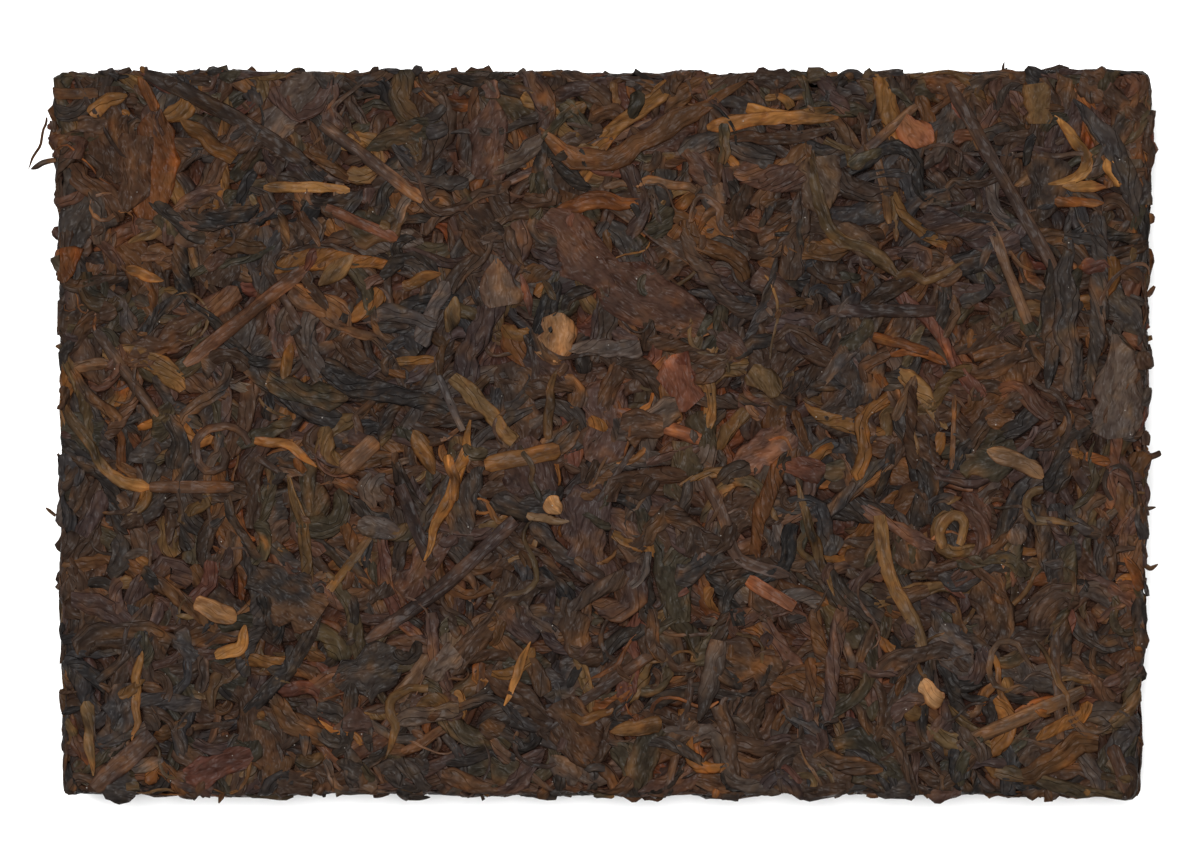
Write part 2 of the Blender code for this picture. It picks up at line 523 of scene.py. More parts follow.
def lay_by_hand(form_name, pieces, level=None):
    """Pieces of one form at chosen places on the face: (width, hue, spot, spot, ...). With a
    level they lie loose that far under the face's top instead."""
    form = FORMS[form_name]
    lines = np.array([smooth_line(spots, form.stations) for _, _, *spots in pieces])
    height = HIGH[2] - (level or 0.0)
    lines = np.concatenate([lines, np.full(lines.shape[:2] + (1,), height)], -1)
    for axis in (0, 1):
        lines[..., axis] += 2.0 * form.wriggle * lumps(lines, 2.2, 81 + axis)
    way = unit(np.gradient(lines, axis=1))
    width = np.array([piece[0] for piece in pieces], float)
    hues = np.array([HUES[piece[1]] for piece in pieces])
    if level is not None:
        up = np.broadcast_to(np.array((0.0, 0.0, 1.0)), lines.shape)
        return loose(Batch(form, lines, up, way, width, hues, on_wall=False))
    place, out = on_mould(lines)
    way = unit(way - (way * out).sum(-1, keepdims=True) * out)
    batch = Batch(form, place, out, way, width, hues)
    batch.sunk = 0.35 * batch.sunk - 0.20
    return batch


# The pieces that catch the eye on the face: width, colour, and the places they run through.
CHOSEN = {
    "stem": [
        (1.8, "bark", (47, 48), (61.7, 22.3)),
        (2.2, "peat", (-62, 49.5), (-51, 44), (-40, 37)),
        (1.8, "bark", (-38.2, 42.5), (-24.5, 32)),
        (2.0, "cinnamon", (-57.2, 9.5), (-40.5, 22.8)),
        (1.6, "peat", (-69.5, 14.3), (-59.2, -0.4)),
        (1.7, "earth", (-62.2, -7.3), (-50.6, -7.3)),
        (2.6, "hazel", (-35.7, -5), (-31, -0.8)),
        (2.0, "plum", (-12.1, -11.8), (-22.4, -21.4), (-32.7, -28.3)),
        (1.8, "plum", (-27.9, -7), (-24, -17.3)),
        (2.0, "coral", (1.9, 3), (7.8, 1.2), (13.3, -0.8)),
        (1.7, "bark", (14, -6), (16.8, -11.8), (18.1, -17.3), (21.6, -18.4), (25.7, -19.4)),
        (1.9, "coral", (19.9, -20), (26.4, -23.8)),
        (2.0, "khaki", (38, -11.1), (38.7, -17.3), (40.1, -21.4), (42.9, -25.6), (44.2, -29.7)),
        (2.0, "husk", (49, -42.7), (66.6, -35.2)),
        (2.2, "husk", (-28.6, -36.5), (-23.8, -30.4)),
        (2.8, "plum", (-70.5, -48.9), (-62.2, -41.4)),
        (2.1, "cinnamon", (70.3, -42.7), (73.1, -48.9)),
        (2.4, "ochre", (-16.2, -4.3), (-5.9, -2.2)),
        (1.5, "coral", (-37.7, 31), (-28, 26.7)),
        (1.6, "peat", (-76, 46.8), (-68.5, 46.6)),
        (1.1, "bark", (-46.2, 23), (-41.4, 15)),
        (1.4, "bark", (33.8, 37.3), (42.7, 45)),
        (1.5, "ash", (52.6, 29), (55.6, 21.5), (58.1, 15.2)),
        (1.8, "plum", (31, 16.9), (45.4, 16.9)),
        (1.1, "stone", (-22.5, 8), (-19.2, 0.4)),
    ],
    "long_leaf": [
        (3.2, "slate", (63.9, 30.8), (63, 18.4), (64.9, 4.7)),
        (2.4, "slate", (67.5, 30), (67.6, 17), (66.5, 5)),
        (2.6, "soot", (60.8, 24), (61.4, 14), (61, 6)),
        (2.2, "ash", (-25, 12.4), (-21.5, 21)),
        (2.2, "khaki", (-20.5, 8), (-16.4, 3.4), (-12, -1)),
        (2.5, "stone", (-4.9, 11.4), (5.2, 12)),
        (2.6, "slate", (64, 46), (70, 38), (73, 30)),
    ],
    "bud": [
        (2.2, "ochre", (-57.4, 43), (-50.3, 37.6)),
        (1.6, "olive", (-75.3, 4), (-72.5, 2), (-69, -4.3), (-65, -7), (-62.2, -7.3)),
        (2.8, "amber", (-25.8, 0.5), (-23.1, -5.6)),
        (1.8, "amber", (-18.3, 1.9), (-19, -3.6), (-21.3, -9), (-23.8, -14.6), (-24.5, -17.3)),
        (1.4, "ochre", (-21.4, -2.9), (-20.3, -6.3), (-20.8, -9)),
        (3.2, "copper", (-8.7, 41.8), (-3.8, 37), (1, 37), (7.8, 41.8), (13.3, 44.5), (19.5, 48.6)),
        (2.0, "ochre", (14, 41.8), (21.6, 43.4), (31.9, 43.4)),
        (1.8, "earth", (16, 40.4), (24.3, 40.7), (31.5, 41.8)),
        (1.6, "amber", (19.5, 44.8), (25.7, 43.4), (31.2, 44.8)),
        (2.4, "rust", (-6.6, 30.8), (-0.4, 32.2), (5.8, 31.5)),
        (1.6, "olive", (26.4, -6.3), (28.2, -11.1), (29.8, -17.3), (31.9, -22.1)),
        (2.8, "tan", (52.5, -2), (57, -3.5), (60.5, -6)),
        (1.7, "amber", (61.5, 43.5), (63.5, 41), (66, 38.5), (66.3, 36.2), (64, 35), (60.5, 34.3)),
        (1.3, "gold", (62.5, 34), (68.6, 34)),
        (1.3, "rust", (61.4, 31.8), (68.1, 31.8)),
        (1.8, "amber", (68.6, 37.8), (70.3, 34)),
        (1.5, "amber", (-46, 34), (-34.5, 33.5)),
        (2.2, "olive", (-38.7, 20.3), (-34, 24.5)),
        (1.3, "copper", (-44, 31), (-43, 25.6)),
        (1.3, "russet", (-41.4, 30.4), (-38.7, 25.6)),
        (1.4, "amber", (-44, 7.6), (-42.5, 12.3)),
        (1.5, "ochre", (-65.3, 22.7), (-60, 21)),
        (1.4, "rust", (-63, 49), (-60.8, 44.2)),
        (1.5, "rust", (37, 13.5), (44.3, 11.3)),
        (1.5, "husk", (40, 1.9), (42.7, 8)),
        (1.5, "gold", (-27.5, 20.5), (-22, 22)),
        (2.4, "khaki", (-21.5, 14), (-20, 19)),
        (1.3, "brick", (-11, 22), (-10, 16)),
        (1.3, "bark", (-4, -17), (0, -19.5)),
        (1.9, "olive", (28.4, 39), (29.1, 32.2), (31.2, 26.7), (36.7, 25.3), (40, 22)),
        (1.5, "rust", (38.7, 10.9), (42.9, 11.5), (47, 9.5)),
        (2.4, "straw", (-56, -22.8), (-53, -24.7), (-50.6, -24.9)),
        (1.9, "amber", (-49.2, -26.2), (-49.9, -29), (-53.3, -30.4)),
        (1.6, "khaki", (-71.2, -36.5), (-70.5, -46.9)),
        (1.3, "amber", (-13.5, -37.2), (-10, -28.3)),
        (2.2, "gold", (1, -41), (8, -39.5)),
        (2.8, "ash", (16, -28.3), (15, -33.8), (13.3, -39.3)),
        (2.4, "straw", (-7.3, -8.5), (-5.8, -11)),
        (2.4, "buff", (43.6, -34.5), (47, -36.5)),
    ],
    "tendril": [
        (1.2, "bark", (-48, -1.5), (-50, 1), (-54, 1.5), (-57, -1), (-56, -4.5), (-52.5, -5.5),
         (-50.5, -3.5), (-52, -1.8)),
        (1.3, "gold", (-47.5, -1.1), (-43, -1.8), (-39.6, -4.7)),
        (1.2, "husk", (0.3, 34.2), (6.5, 34.9), (13.3, 32.8)),
        (1.1, "umber", (11.3, 29.4), (14, 32.8), (17.4, 27.3)),
        (1.4, "olive", (-5.9, 8.8), (-7.3, 4.7), (-7.6, -0.8)),
        (1.2, "buff", (-10.7, -11.5), (-4.8, -12.1)),
        (1.4, "khaki", (46.3, -15.3), (46.7, -12.1), (49.3, -10.9), (50.2, -13.2), (48.4, -15.3)),
        (1.3, "olive", (65.5, -12.5), (60, -11.8), (57.6, -9), (60.7, -7.7)),
        (1.4, "olive", (36.7, 25.3), (40.8, 21.8), (46.3, 21.2), (49, 23.2)),
        (0.9, "husk", (59.6, -32), (58.5, -29.4), (55.9, -28.3), (53.3, -29.4), (52.2, -32),
         (53.3, -34.6), (55.9, -35.7), (58.5, -34.6)),
        (1.3, "gold", (-63.6, -29.7), (-64.3, -36.5), (-65, -42)),
        (1.3, "olive", (-30, -44.1), (-28.2, -40), (-30, -37.2), (-27.9, -35.2), (-23.8, -35.2)),
        (1.4, "ochre", (-5.2, -38.6), (-3.2, -39.6), (-0.4, -38.6), (1.6, -37.2)),
        (1.1, "umber", (58.1, 8), (64.2, 4.1)),
        (1.0, "olive", (-8.4, 21), (-5.9, 18)),
        (0.9, "moss", (-11.2, -1.6), (-8.4, -9.7)),
        (0.7, "buff", (68.6, 15.7), (66.4, 11.3)),
        (0.3, "rust", (-76.5, 39.2), (-73.8, 39.7), (-70.6, 37.5), (-68.3, 34.8), (-66.6, 33.9)),
    ],
    "broad_leaf": [
        (6.2, "russet", (-60.5, 44.5), (-61, 36), (-62.5, 29.5)),
        (5.0, "earth", (-67.5, 47.5), (-67.2, 41), (-65.5, 34.5)),
        (4.4, "earth", (-63.5, 41), (-64, 35), (-65, 30.5)),
        (6.5, "cocoa", (-8, 30), (-0.4, 23.2), (5, 18.4), (13.3, 15)),
        (5.5, "stone", (69.7, 13.6), (70.8, -0.8)),
        (5.5, "husk", (29, 38), (30, 30)),
        (4.5, "hazel", (-14.5, 24), (-13.5, 17.5)),
        (7.0, "slate", (-48, -19), (-39, -25)),
    ],
    "flake": [
        (5.2, "tan", (-5.9, 16.6), (-6.9, 9.9)),
        (5.6, "brick", (8.5, 10), (13, 4.5)),
        (3.2, "brick", (24, -4.6), (30.5, -4.6)),
        (3.6, "khaki", (58.7, 48), (59.4, 42.5)),
        (4.4, "rust", (-74.4, 25.4), (-73.6, 20.8)),
        (3.0, "redwood", (-58, -46.9), (-48.5, -44.1)),
        (3.5, "coral", (40.5, 42.8), (44.9, 40)),
        (3.0, "ash", (32, 28.5), (37.7, 24.5)),
        (3.0, "khaki", (20, 8.6), (24.4, 5.8)),
    ],
}

# Pieces that stick out of the walls just under the face.
JUTTING = [
    (0.35, "copper", (-75.6, 43), (-76.6, 40.5), (-77.6, 38), (-78.3, 35.8)),
    (0.8, "soot", (-74.6, 37.6), (-76.4, 37.4), (-77.9, 36.0)),
    (0.9, "umber", (73.5, -2.6), (75.2, -2.9), (76.5, -2.8)),
    (0.7, "earth", (73.8, -17.2), (75.2, -18.2), (76.2, -17.6)),
    (0.6, "umber", (73.4, -10.6), (75.8, -10.2)),
    (0.4, "umber", (54.2, 48.8), (54.5, 51.2)),
    (0.5, "copper", (-75.5, -11), (-76.8, -10.2)),
]


# ---------------------------------------------------------------- the pile


class Pile:
    """How high the leaf stands over each small cell of the mould's wall."""

    CELL = 0.45

    def __init__(self):
        size = (HIGH - LOW + 4) / self.CELL
        self.shape = tuple(np.ceil(size).astype(int))
        self.top = np.zeros(math.prod(self.shape))
        self.wall = np.zeros(len(self.top), bool)
        for axis, end in itertools.product(range(3), (LOW, HIGH)):
            steps = [np.arange(low, high, 0.3) for low, high in zip(LOW, HIGH, strict=True)]
            steps[axis] = end[axis : axis + 1]
            sheet = np.stack(np.meshgrid(*steps, indexing="ij"), -1)
            self.wall[self.cells(on_mould(sheet)[0])] = True

    def cells(self, places):
        at = ((places - LOW + 2) / self.CELL).astype(np.int64)
        at = np.clip(at, 0, np.array(self.shape) - 1)
        return (at[..., 0] * self.shape[1] + at[..., 1]) * self.shape[2] + at[..., 2]

    def lay(self, batch, i):
        """Lays one piece on what lies under it: it bridges hollows, and its edges tuck down."""
        under = self.top[batch.own_cells[i]]
        spine = 0.45 * under.mean(1) + 0.55 * under.max(1)
        reach = batch.form.stiff
        padded = np.pad(spine, reach, mode="edge")
        spine = np.convolve(padded, np.ones(2 * reach + 1) / (2 * reach + 1), "valid")
        hold = np.cos(batch.angle) ** 0.7
        bed = hold * spine[:, None] + (1 - hold) * under
        raw = np.maximum(bed + batch.crown[i], under + 0.10) - batch.sunk[i]
        batch.raw[i] = raw
        cells = batch.fine_cells[i]
        self.top[cells] = np.maximum(self.top[cells], batch.finer(raw))

    def even_out(self, reach):
        """The mean height round each cell, over the cells that hold leaf."""
        heights = self.top.reshape(self.shape)
        weight = (heights > 0).astype(float)
        total = heights * weight
        for _ in range(2):
            for axis in range(3):
                total = box_mean(total, reach, axis)
                weight = box_mean(weight, reach, axis)
        self.level = (total / np.maximum(weight, 1e-9)).ravel()


def box_mean(values, reach, axis):
    wide = [(0, 0)] * 3
    wide[axis] = (reach + 1, reach)
    summed = np.pad(values, wide).cumsum(axis)
    width = 2 * reach + 1
    count = values.shape[axis]
    later = np.take(summed, np.arange(width, width + count), axis)
    sooner = np.take(summed, np.arange(count), axis)
    return (later - sooner) / width


PLANE = 0.42  # how far the pressed leaf's mean plane lies under the mould's
PRESSED_AT = 0.0  # leaf that stands higher than this over the mean is squeezed
SQUEEZE = 0.50  # how much of that height the mould takes away
HOLLOW_AT = 0.25  # leaf that lies lower than this under the mean is pushed up by its neighbours
FILL = 0.62  # how much of that depth they take away
GIVE = 0.60  # how much of every height the pressing leaves


def press(heights):
    """Heights over the mean, pressed by the mould's plane: crests are flattened, hollows filled."""
    softness = 0.22
    over = softness * np.logaddexp(0, (heights - PRESSED_AT) / softness)
    under = softness * np.logaddexp(0, (-heights - HOLLOW_AT) / softness)
    return GIVE * (heights - SQUEEZE * over + FILL * under) - PLANE


def pile_up(layers):
    """Lays the layers in turn, each in random order, and presses the pile."""
    pile = Pile()
    laid = []
    for layer in layers:
        for batch in layer:
            batch.cells(pile)
        order = [(batch, i) for batch in layer for i in range(len(batch.length))]
        for k in RNG.permutation(len(order)):
            pile.lay(*order[k])
            laid.append(order[k])
    pile.even_out(6)
    for batch in itertools.chain(*layers):
        batch.depth = press(batch.raw - pile.level[batch.own_cells])
    return fill_gaps(pile, keep_seen(laid, pile))


NEEDED = 8  # a piece is kept if it covers at least this many cells that nothing later covers


def keep_seen(laid, pile):
    """Drops the pieces that later ones bury. Returns which cells the others cover."""
    covered = np.zeros(pile.top.shape, bool)
    for batch, i in reversed(laid):
        cells = batch.fine_cells[i][1:-1, 2:-2]
        if np.unique(cells[~covered[cells]]).size >= NEEDED:
            covered[cells] = True
            batch.kept.append(i)
    return covered


def fill_gaps(pile, covered):
    """Broken leaf in every gap that the kept pieces leave."""
    bare = (pile.wall & ~covered).reshape(pile.shape)
    around = bare.astype(float)
    leafy = pile.wall.reshape(pile.shape).astype(float)
    for axis in range(3):
        around = box_mean(around, 1, axis)
        leafy = box_mean(leafy, 1, axis)
    gaps = np.argwhere(bare & (around > 0.42 * leafy))
    filled = np.zeros(pile.shape, bool)
    spots = []
    for spot in RNG.permutation(gaps):
        if not filled[tuple(spot)]:
            near = tuple(slice(max(at - 2, 0), at + 3) for at in spot)
            filled[near] = True
            spots.append(spot)
    start = LOW - 2 + (np.array(spots) + 0.5) * pile.CELL
    count = len(start)
    _, out = on_mould(start)
    way = unit(np.cross(out, unit(RNG.normal(0, 1, (count, 3)))))
    length = between(FILLER.length, count)
    line, out, way = walk(
        start - way * length[:, None] / 2, way, length / (FILLER.stations - 1), bends(FILLER, count)
    )
    batch = Batch(FILLER, line, out, way, between(FILLER.width, count), pick_hues(BIT_MIX, count))
    batch.cells(pile)
    for i in range(count):
        pile.lay(batch, i)
    batch.depth = press(batch.raw - pile.level[batch.own_cells]) - 0.1
    batch.kept = list(range(count))
    return batch


# ---------------------------------------------------------------- meshes

UNDER = 0.45  # how far a piece's hidden side lies under its edges


def ring_points(batch):
    """Each kept piece's points: its upper side, then one point of its underside, by station."""
    place, out, depth = (part[batch.kept] for part in (batch.place, batch.out, batch.depth))
    upper = place + out * depth[..., None]
    last = batch.form.across - 1
    low = np.minimum(depth[..., [last]], depth[..., [0]]) - UNDER * batch.form.width[0] / 2
    under = place[:, :, [last // 2]] + out[:, :, [last // 2]] * low[..., None]
    return np.concatenate([upper, under], 2)


def tint_points(batch):
    """The leaf's colour at each point: it shifts along the piece and in streaks, with painted shade at its
    edges, pale margins that are partly painted highlight, and painted light and shade over its folds.
    """
    kept, count = batch.kept, len(batch.length)
    base = batch.hues[:, None, None]
    along = batch.noise_along(6.0, 21)[..., None]
    streak = batch.noise_over(8.0, 0.8, 22)
    blotch = batch.noise_over(2.2, 1.5, 23)
    lean, wear_and_highlight, light = RNG.normal((0, 0, 1), (0.4, 0.10, 0.14), (count, 3)).T[..., None, None]
    warm = np.clip(0.6 * streak + 1.2 * blotch + 0.5 * along + lean - 0.4, 0, 1)
    warmer = np.array(HUES["ochre"]) * 0.55 + base * 0.45
    tint = base + (warmer - base) * warm[..., None] * 0.75
    # Pale leaf is stained dark here and there.
    stained = np.clip(batch.form.stained + 0.9 * batch.noise_over(4.0, 1.4, 24), 0, 1)
    tint = tint + (np.array(HUES["umber"]) * 1.3 - tint) * (stained * batch.form.stained)[..., None]
    shade = 1 + batch.form.patchy * (0.9 * along + 1.1 * blotch + 0.7 * streak)
    # The outermost edge, which tucks under its neighbours, is darkened with painted shade.
    reach = np.abs(batch.across)
    edge_shade = np.clip((reach - 0.88) / 0.12, 0, 1)
    # Just inside it the margin is painted pale: partly wear, partly a painted highlight along the edge.
    margin = np.clip((reach - 0.5) / 0.25, 0, 1) * (1 - edge_shade)
    shade = shade * np.maximum(light, 0.6) * (1 + (0.12 + wear_and_highlight) * margin)
    # Painted highlight on the fold crests and painted shade in the creases between them.
    shade = shade * (1 + 0.42 * batch.ridge)
    # Some leaves show a pale vein or edge.
    at = RNG.uniform(-0.7, 0.7, (count, 1, 1)) + 0.5 * along
    vein = np.exp(-(((batch.across - at) / 0.13) ** 2)) * (RNG.random((count, 1, 1)) < 0.4)
    shade = shade * (1 + 0.7 * vein * np.clip(0.5 + 1.5 * along, 0, 1))
    # The painted edge shade also reddens the edge.
    tint = tint * shade[..., None] * (1 - edge_shade[:, None] * np.array((0.34, 0.48, 0.53)))
    tint = tint[kept]
    return np.concatenate([tint, tint[:, :, [0]]], 2)


def grain_points(batch):
    """(along, across, seed) at each point, in millimetres, for the grain of the leaf."""
    shape = batch.along.shape + (batch.form.across + 1,)
    grain = np.zeros(shape + (3,))
    grain[..., 0] = batch.along[..., None]
    girth = np.append(batch.across, 0.0)
    run = batch.along - (batch.length / 2)[:, None]
    grain[..., 1] = batch.tapered[..., None] / 2 * girth + (run * batch.slant[:, None])[..., None]
    grain[..., 2] = batch.seed[:, None, None]
    return grain[batch.kept]


def shelves(widths, heights, gap):
    """Packs rectangles in rows into a square: each one's corner, and the square's side."""
    side = math.sqrt(((widths + gap) * (heights + gap)).sum()) * 1.03
    corners = np.zeros((len(widths), 2))
    x = y = row = 0.0
    for i in np.argsort(-heights):
        if x + widths[i] + gap > side:
            x, y, row = 0.0, y + row, 0.0
        corners[i] = x + gap / 2, y + gap / 2
        x += widths[i] + gap
        row = max(row, heights[i] + gap)
    return corners, max(side, y + row)


def strip_map(batch):
    """Where each corner of each face lies on a flat sheet on which every piece is unrolled."""
    ring = batch.form.across + 1
    length = batch.length[batch.kept]
    width = batch.width[batch.kept]
    # The hidden underside gets a quarter of a piece's strip.
    girth = np.concatenate([(batch.across + 1) / 2 * 0.75, [0.87, 1.0]])
    cap = 0.35
    corners, side = shelves(length + 2 * cap, width * 1.35, 0.5)
    stations = batch.along.shape[1]
    u = corners[:, :1] + cap + batch.along[batch.kept]
    v = corners[:, 1:] + girth * width[:, None] * 1.35
    near, far = u[:, :-1, None], u[:, 1:, None]
    low, high = v[:, None, :-1], v[:, None, 1:]
    shape = (len(length), stations - 1, ring)
    quads = np.stack(
        [
            np.stack([np.broadcast_to(part, shape) for part in corner], -1)
            for corner in ((near, low), (far, low), (far, high), (near, high))
        ],
        -2,
    )
    bulge = cap * np.sin(girth[:-1] * math.pi)
    start = np.stack([u[:, :1] - 0.05 - bulge, v[:, :-1]], -1)
    end = np.stack([u[:, -1:] + 0.05 + bulge, v[:, :-1]], -1)[:, ::-1]
    return quads.reshape(len(length), -1, 2) / side, start / side, end / side


def strip_faces(count, stations, ring):
    """Corners of the faces of closed strips: quads along them, and a cap at each end."""
    station, point = np.meshgrid(np.arange(stations - 1), np.arange(ring), indexing="ij")
    after = (point + 1) % ring
    quad = np.stack(
        [
            station * ring + point,
            (station + 1) * ring + point,
            (station + 1) * ring + after,
            station * ring + after,
        ],
        -1,
    ).ravel()
    start = np.arange(ring)
    end = (stations - 1) * ring + start[::-1]
    first = (np.arange(count) * stations * ring)[:, None]
    return quad + first, start + first, end + first


def join_strips(name, batches):
    """One mesh of every kept piece of these batches."""
    points, tints, grains, depths, corners, totals, sheet = [], [], [], [], [], [], []
    offset = 0
    for number, batch in enumerate(batches):
        if not len(batch.kept):
            continue
        ring = batch.form.across + 1
        stations = batch.along.shape[1]
        count = len(batch.kept)
        points.append(stray(ring_points(batch)).reshape(-1, 3))
        tints.append(tint_points(batch).reshape(-1, 3))
        grains.append(grain_points(batch).reshape(-1, 3))
        depth = batch.depth[batch.kept]
        depths.append(np.concatenate([depth, depth[..., [-1]] - 0.5], 2).ravel())
        quads, starts_, ends = strip_faces(count, stations, ring)
        flat = strip_map(batch)
        # Each batch has a square of its own on the sheet.
        across = math.ceil(math.sqrt(len(batches)))
        cell = np.array([number % across, number // across])
        for faces, places, size in zip((quads, starts_, ends), flat, (4, ring, ring), strict=True):
            corners.append(faces.ravel() + offset)
            totals.append(np.full(faces.size // size, size))
            sheet.append((places.reshape(-1, 2) * 0.98 + 0.01 + cell) / across)
        offset += count * stations * ring
    mesh = mesh_from(name, np.concatenate(points), np.concatenate(corners), np.concatenate(totals))
    add_values(mesh, "tint", np.concatenate(tints))
    add_values(mesh, "grain", np.concatenate(grains))
    add_values(mesh, "depth", np.concatenate(depths))
    layer = mesh.uv_layers.new(name="OFBake")
    layer.uv.foreach_set("vector", np.concatenate(sheet).astype(np.float32).ravel())
    return mesh


def mesh_from(name, points, corners, totals):
    mesh = bpy.data.meshes.new(name)
    mesh.vertices.add(len(points))
    mesh.vertices.foreach_set("co", (points * MM).astype(np.float32).ravel())
    mesh.loops.add(len(corners))
    mesh.loops.foreach_set("vertex_index", corners.astype(np.int32))
    mesh.polygons.add(len(totals))
    begin = np.concatenate([[0], np.cumsum(totals)[:-1]])
    mesh.polygons.foreach_set("loop_start", begin.astype(np.int32))
    mesh.update(calc_edges=True)
    mesh.validate()
    mesh.shade_smooth()
    mesh.set_sharp_from_angle(angle=math.radians(62))
    return mesh


def add_values(mesh, name, values):
    """Stores numbers or vectors at the mesh's points, for its material to read."""
    kind = "FLOAT_VECTOR" if values.ndim == 2 else "FLOAT"
    key = "vector" if values.ndim == 2 else "value"
    layer = mesh.attributes.new(name, kind, "POINT")
    layer.data.foreach_set(key, values.astype(np.float32).ravel())


def add_piece(name, mesh, material):
    piece = bpy.data.objects.new(name, mesh)
    bpy.context.scene.collection.objects.link(piece)
    mesh.materials.append(material)
    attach(piece, "root")
    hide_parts("tea_brick")
    return piece


# ---------------------------------------------------------------- shader groups


class Nodes:
    """Short ways to add nodes to a node tree."""

    def __init__(self, tree):
        self.tree = tree

    def add(self, kind, **settings):
        node = self.tree.nodes.new(kind)
        for key, value in settings.items():
            setattr(node, key, value)
        return node

    def link(self, source, target):
        self.tree.links.new(source, target)

    def feed(self, node, **inputs):
        """Sets or links a node's inputs, named with underscores for spaces."""
        for key, value in inputs.items():
            socket = node.inputs[key.replace("_", " ")]
            if isinstance(value, bpy.types.NodeSocket):
                self.link(value, socket)
            else:
                socket.default_value = value
        return node

    def maths(self, operation, first, second=0.0, clamp=False):
        node = self.add("ShaderNodeMath", operation=operation, use_clamp=clamp)
        for socket, value in zip(node.inputs, (first, second), strict=False):
            if isinstance(value, bpy.types.NodeSocket):
                self.link(value, socket)
            else:
                socket.default_value = value
        return node.outputs[0]

    def mix(self, share, first, second, blend="MIX"):
        node = self.add("ShaderNodeMix", data_type="RGBA", blend_type=blend, clamp_factor=True)
        named = {"Factor_Float": share, "A_Color": first, "B_Color": second}
        for socket in node.inputs:
            value = named.get(socket.identifier)
            if value is None:
                continue
            if isinstance(value, bpy.types.NodeSocket):
                self.link(value, socket)
            else:
                socket.default_value = value
        return next(socket for socket in node.outputs if socket.identifier == "Result_Color")

    def noise(self, vector, scale, detail=2.0, rough=0.5):
        node = self.add("ShaderNodeTexNoise")
        self.feed(node, Vector=vector, Scale=scale, Detail=detail, Roughness=rough)
        return node.outputs["Fac"]

    def stretched(self, vector, size):
        node = self.add("ShaderNodeVectorMath", operation="MULTIPLY")
        self.link(vector, node.inputs[0])
        node.inputs[1].default_value = size
        return node.outputs[0]

    def ramp(self, value, low, high):
        """0 below low, 1 above high."""
        node = self.add("ShaderNodeMapRange", interpolation_type="SMOOTHSTEP")
        self.feed(node, Value=value, From_Min=low, From_Max=high)
        return node.outputs["Result"]

    def value_of(self, name):
        return self.add("ShaderNodeAttribute", attribute_name=name)


def shader_group(name, inputs, outputs):
    """A node group with these sockets: {name: (kind, default)}. Returns it with its ends."""
    tree = bpy.data.node_groups.new(name, "ShaderNodeTree")
    for key, (kind, default) in inputs.items():
        socket = tree.interface.new_socket(key, in_out="INPUT", socket_type=kind)
        socket.default_value = default
    for key, kind in outputs.items():
        tree.interface.new_socket(key, in_out="OUTPUT", socket_type=kind)
    nodes = Nodes(tree)
    return tree, nodes, nodes.add("NodeGroupInput").outputs, nodes.add("NodeGroupOutput")


FLOAT, COLOR, VECTOR = "NodeSocketFloat", "NodeSocketColor", "NodeSocketVector"


def leaf_grain_group():
    """Folds and fibres that run along a piece, and the crumpled skin between them."""
    tree, nodes, given, result = shader_group(
        "leaf_grain",
        {
            "Grain": (VECTOR, (0, 0, 0)),
            "Fold Width": (FLOAT, 1.0),
            "Fold": (FLOAT, 1.0),
            "Fibre Width": (FLOAT, 0.35),
            "Fibre Length": (FLOAT, 4.0),
            "Fibre": (FLOAT, 0.1),
            "Crumple": (FLOAT, 0.5),
        },
        {"Fibre": FLOAT, "Crease": FLOAT, "Wrinkle": FLOAT, "Height": FLOAT},
    )
    parts = nodes.add("ShaderNodeSeparateXYZ")
    nodes.link(given["Grain"], parts.inputs[0])
    seed = nodes.maths("MULTIPLY", parts.outputs["Z"], 7.0)
    joined = nodes.add("ShaderNodeCombineXYZ")
    nodes.link(nodes.maths("DIVIDE", parts.outputs["X"], given["Fibre Length"]), joined.inputs["X"])
    nodes.link(nodes.maths("DIVIDE", parts.outputs["Y"], given["Fibre Width"]), joined.inputs["Y"])
    nodes.link(seed, joined.inputs["Z"])
    fibre = nodes.noise(joined.outputs[0], 1.0, 1.0, 0.5)
    nodes.link(nodes.ramp(fibre, 0.34, 0.66), result.inputs["Fibre"])
    # The leaf is rolled up: each layer's edge drops sharply to the next one.
    sway = nodes.noise(nodes.stretched(given["Grain"], (0.22, 0.5, 7.0)), 1.0, 1.0, 0.5)
    phase = nodes.maths("DIVIDE", parts.outputs["Y"], given["Fold Width"])
    phase = nodes.maths("ADD", phase, nodes.maths("MULTIPLY", sway, 3.2))
    saw = nodes.maths("FRACT", nodes.maths("ADD", phase, seed))
    rise = nodes.maths("SUBTRACT", nodes.maths("POWER", saw, 0.7), nodes.ramp(saw, 0.86, 1.0))
    near_edge = nodes.maths("ABSOLUTE", nodes.maths("SUBTRACT", saw, 0.96))
    crease = nodes.maths("MULTIPLY", nodes.ramp(near_edge, 0.12, 0.02), 0.5)
    crumple = nodes.noise(nodes.stretched(given["Grain"], (0.7, 1.2, 7.0)), 1.0, 1.0, 0.4)
    wrinkle = nodes.noise(nodes.stretched(given["Grain"], (0.7, 1.1, 9.0)), 1.0, 1.0, 0.5)
    crumple = nodes.maths("ADD", crumple, nodes.maths("MULTIPLY", wrinkle, 0.12))
    nodes.link(crease, result.inputs["Crease"])
    nodes.link(wrinkle, result.inputs["Wrinkle"])
    height = nodes.maths("MULTIPLY", rise, given["Fold"])
    height = nodes.maths("ADD", height, nodes.maths("MULTIPLY", fibre, given["Fibre"]))
    height = nodes.maths("ADD", height, nodes.maths("MULTIPLY", crumple, given["Crumple"]))
    nodes.link(height, result.inputs["Height"])
    return tree


